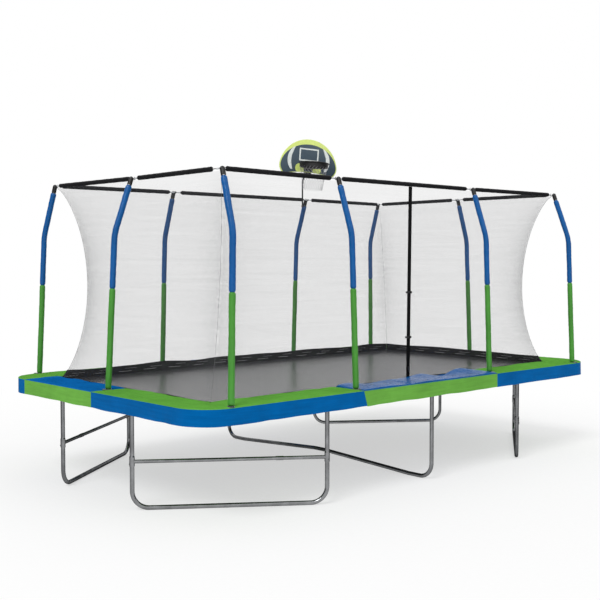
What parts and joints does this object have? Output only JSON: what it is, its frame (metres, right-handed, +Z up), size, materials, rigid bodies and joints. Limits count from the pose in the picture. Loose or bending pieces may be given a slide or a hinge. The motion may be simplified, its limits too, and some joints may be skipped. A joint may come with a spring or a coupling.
{
  "type": "rectangular trampoline",
  "caption": "Rectangular trampoline with bent steel legs, spring mat, two-colour pads, enclosure net on padded poles, zip entrance and basketball hoop.",
  "frame": {"origin": "on the ground under the middle of the mat", "axes": "+X along the long side, +Y along the short side away from the zip entrance, +Z up"},
  "size_m": [5.444, 3.104, 3.4914],
  "materials": {
    "galvanised_steel": "bright galvanised tube",
    "pole_steel": "galvanised tube",
    "green_sleeve": "coated cloth over foam",
    "blue_sleeve": "coated cloth over foam",
    "black_plastic": "moulded",
    "ring_line": "braided",
    "black_foam": "cloth over foam",
    "mat_cloth": "woven polypropylene",
    "bright_wire": "zinc plated wire",
    "spring_steel": "zinc plated wire",
    "green_pad": "coated cloth",
    "blue_pad": "coated cloth",
    "net_mesh": "fine mesh",
    "black_webbing": "woven",
    "zip_metal": "die cast",
    "board_face": "printed sheet",
    "white_cord": "knotted cord",
    "black_metal": "powder coat"
  },
  "bodies": {
    "root": {"frame_corner_front_left": "galvanised_steel", "frame_corner_front_right": "galvanised_steel", "frame_corner_back_right": "galvanised_steel", "frame_corner_back_left": "galvanised_steel", "frame_rail_front_left": "galvanised_steel", "frame_rail_front_right": "galvanised_steel", "frame_rail_back_left": "galvanised_steel", "frame_rail_back_right": "galvanised_steel", "frame_rail_left_end": "galvanised_steel", "frame_rail_right_end": "galvanised_steel", "leg_posts_plain": "galvanised_steel", "leg_posts_with_stub": "galvanised_steel", "leg_base_front_left": "galvanised_steel", "leg_base_front_right": "galvanised_steel", "leg_base_back_right": "galvanised_steel", "leg_base_back_left": "galvanised_steel", "leg_braces": "galvanised_steel", "middle_leg_front_half": "galvanised_steel", "middle_leg_back_half": "galvanised_steel", "pole_front_left_corner": "pole_steel", "pole_front_left_middle": "pole_steel", "pole_front_right_middle": "pole_steel", "pole_front_right_corner": "pole_steel", "pole_right_end": "pole_steel", "pole_back_right_corner": "pole_steel", "pole_back_right_middle": "pole_steel", "pole_back_left_middle": "pole_steel", "pole_back_left_corner": "pole_steel", "pole_left_end": "pole_steel", "pole_sleeves_green": "green_sleeve", "pole_sleeves_blue": "blue_sleeve", "pole_caps": "black_plastic", "top_ring_line": "ring_line", "top_ring_sleeves": "black_foam", "mat_springs": "spring_steel", "pad_front_left_corner": "green_pad", "pad_front_right_corner": "green_pad", "pad_back_left": "green_pad", "pad_back_right": "green_pad", "pad_front_middle": "blue_pad", "pad_back_middle": "blue_pad", "pad_left_end": "blue_pad", "pad_right_end": "blue_pad", "net_front": "net_mesh", "net_right": "net_mesh", "net_back": "net_mesh", "net_left": "net_mesh", "net_foot_band": "black_webbing", "zip_tape": "black_webbing", "buckle_sockets": "black_plastic", "hoop_backboard": "board_face", "hoop_rim": "black_plastic", "hoop_net": "white_cord", "hoop_bracket": "black_metal"},
    "mat": {"jumping_mat": "mat_cloth", "mat_v_rings": "bright_wire"},
    "zip_slider": {"zip_slider": "zip_metal"},
    "zip_pull": {"zip_pull": "zip_metal"},
    "buckle_plug_lower": {"buckle_plug_lower": "black_plastic"},
    "buckle_plug_upper": {"buckle_plug_upper": "black_plastic"}
  },
  "joints": [
    {"name": "mat_bounce", "type": "slide", "parent": "root", "child": "mat", "axis": [0, 0, 1], "range_m": [-0.28, 0], "stiffness_N_per_m": 5000, "springref_m": 0.06, "deforming": ["mat_springs"]},
    {"name": "zip_slide", "type": "slide", "parent": "root", "child": "zip_slider", "axis": [0, -0.012, 0.9999], "range_m": [0, 1.6]},
    {"name": "zip_pull_swing", "type": "hinge", "parent": "zip_slider", "child": "zip_pull", "pos_m": [0.03, -1.19972, 1.0337], "axis": [-1, 0, 0], "range_deg": [0, 100]},
    {"name": "buckle_lower_release", "type": "slide", "parent": "root", "child": "buckle_plug_lower", "axis": [1, 0, 0], "range_m": [0, 0.03]},
    {"name": "buckle_upper_release", "type": "slide", "parent": "root", "child": "buckle_plug_upper", "axis": [1, 0, 0], "range_m": [0, 0.03]}
  ]
}
